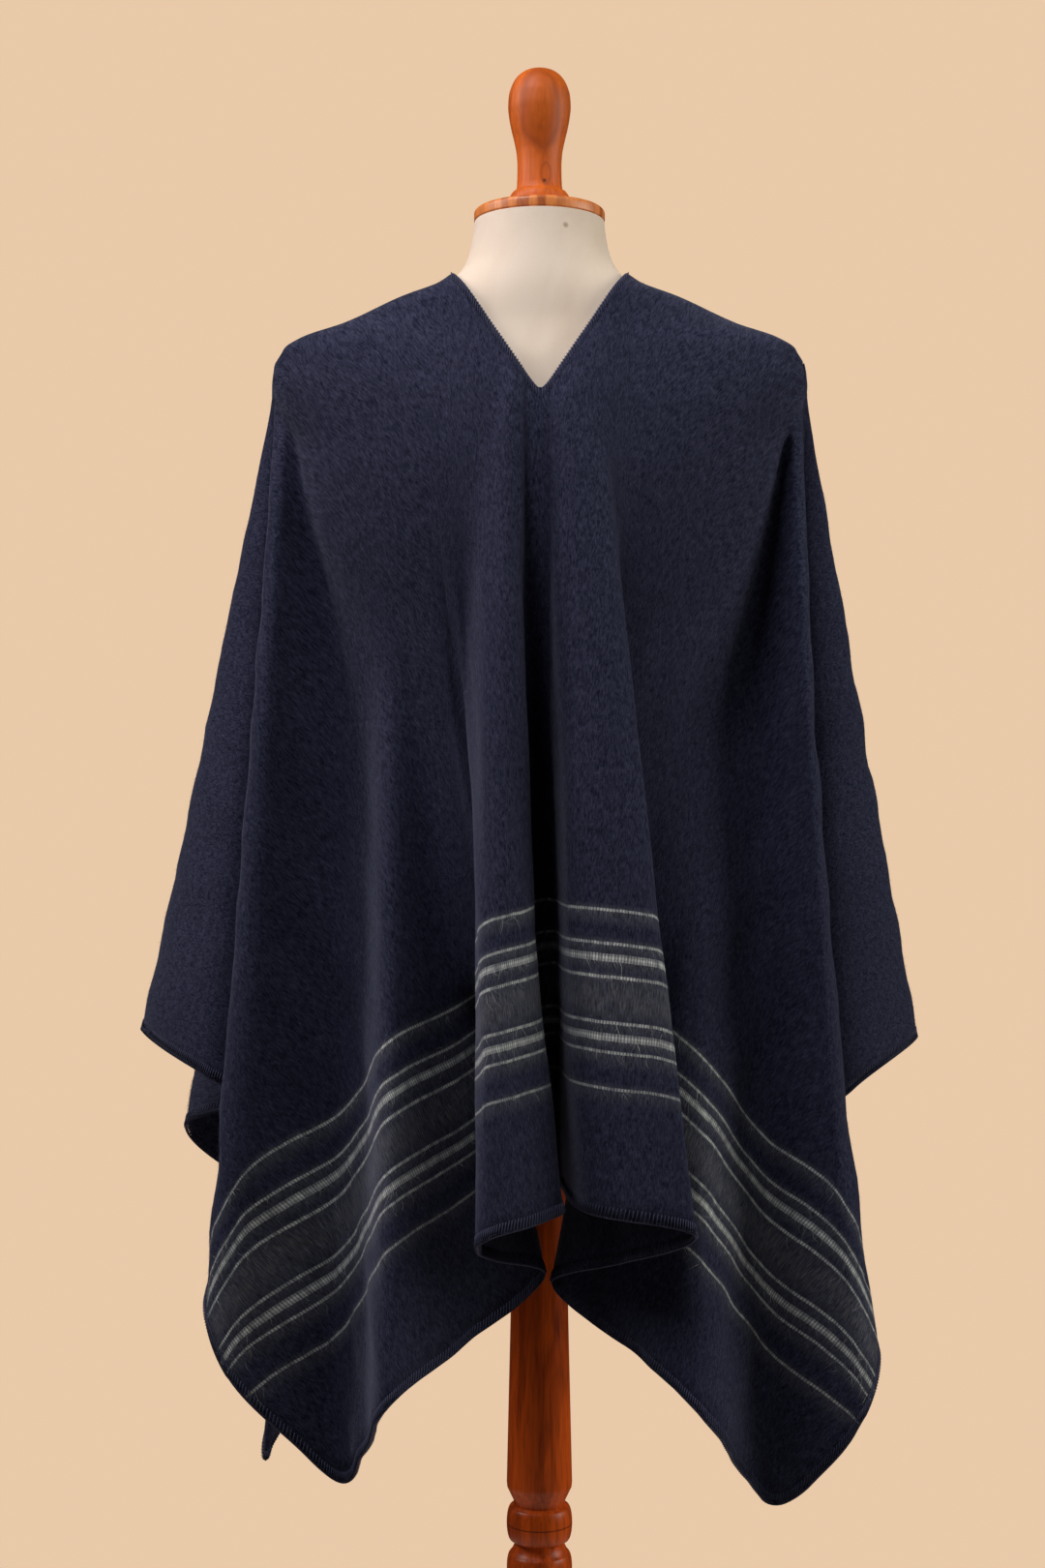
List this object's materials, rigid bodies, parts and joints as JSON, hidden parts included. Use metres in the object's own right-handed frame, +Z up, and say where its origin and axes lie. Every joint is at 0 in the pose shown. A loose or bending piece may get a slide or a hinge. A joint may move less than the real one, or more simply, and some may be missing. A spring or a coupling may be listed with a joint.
{
  "type": "andean poncho on a dress form stand",
  "caption": "Square wool poncho with a V neck and banded hem, draped in folds over a limbless dress form on a turned wooden stand.",
  "frame": {"origin": "centre of the round base's underside, where the stand rests on the floor", "axes": "+Z up along the post, -Y the way the front of the poncho faces, +X to the viewer's right from the front"},
  "size_m": [0.6493, 0.4335, 1.64],
  "materials": {
    "navy_wool": "brushed wool, navy with light grey bands",
    "cream_cover": "plain cream cotton cover",
    "cap_wood": "varnished",
    "finial_wood": "varnished",
    "post_wood": "varnished",
    "base_wood": "varnished"
  },
  "bodies": {
    "root": {"poncho": "navy_wool", "form_torso": "cream_cover", "neck_cap": "cap_wood", "finial": "finial_wood", "post": "post_wood", "base": "base_wood"}
  },
  "joints": []
}
